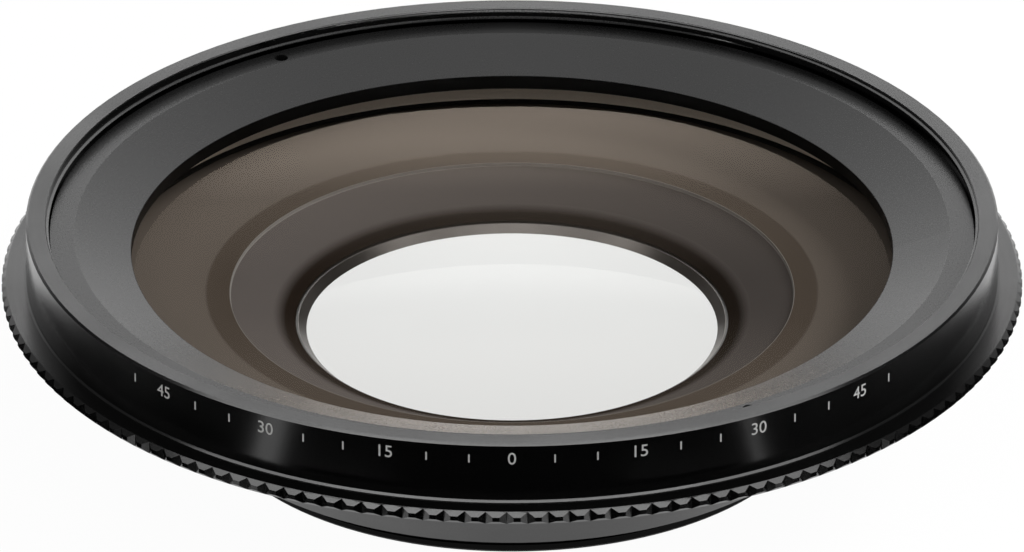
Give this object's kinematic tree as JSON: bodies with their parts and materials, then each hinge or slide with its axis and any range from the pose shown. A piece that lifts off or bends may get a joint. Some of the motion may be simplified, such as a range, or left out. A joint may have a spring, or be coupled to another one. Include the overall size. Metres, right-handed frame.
{
  "type": "wide-angle conversion lens",
  "caption": "Wide, shallow front converter lens: glass in a dished ring and plain bezel, knurled grip ring, conical housing and a rear male mount thread.",
  "frame": {"origin": "on the optical axis at the rear end of the mount thread, which the lens stands on", "axes": "+Z along the optical axis towards the subject, +X to the right and -Y towards the viewer in the picture"},
  "size_m": [0.104, 0.104, 0.0221],
  "materials": {
    "satin_black": "satin black anodised",
    "baffle_black": "matte brown-black anodised",
    "black_rubber": "matte",
    "coated_glass": "polished, with a warm anti-reflection coating",
    "rear_glass": "polished",
    "bare_steel": "plain turned"
  },
  "bodies": {
    "lens_body": {"front_bezel": "satin_black", "front_element": "coated_glass", "front_seat_gasket": "black_rubber", "knurled_grip_ring": "satin_black", "rear_housing": "satin_black", "light_baffle": "baffle_black", "rear_cell": "baffle_black", "cell_shim": "bare_steel", "rear_crown_element": "rear_glass", "rear_flint_element": "rear_glass", "mount_ring": "satin_black", "mount_set_screws": "bare_steel"},
    "front_gasket": {"front_slip_gasket": "black_rubber"},
    "front_retainer": {"front_retaining_ring": "satin_black"},
    "rear_washer": {"rear_slip_washer": "black_rubber"},
    "rear_retainer": {"rear_retaining_ring": "satin_black"}
  },
  "joints": [
    {"name": "front_retainer_lift", "type": "slide", "parent": "lens_body", "child": "front_gasket", "axis": [0, 0, 1], "range_m": [0, 0.00225]},
    {"name": "front_retainer_turn", "type": "hinge", "parent": "front_gasket", "child": "front_retainer", "pos_m": [0, 0, 0.0192], "axis": [0, 0, 1], "range_deg": [0, 1080]},
    {"name": "rear_retainer_drop", "type": "slide", "parent": "lens_body", "child": "rear_washer", "axis": [0, 0, -1], "range_m": [0, 0.0015]},
    {"name": "rear_retainer_turn", "type": "hinge", "parent": "rear_washer", "child": "rear_retainer", "pos_m": [0, 0, 0.001], "axis": [0, 0, -1], "range_deg": [0, 720]}
  ],
  "couplings": [
    {"joint": "front_retainer_lift", "follows": "front_retainer_turn", "m_per_rad": 0.00011937},
    {"joint": "rear_retainer_drop", "follows": "rear_retainer_turn", "m_per_rad": 0.00011937}
  ]
}
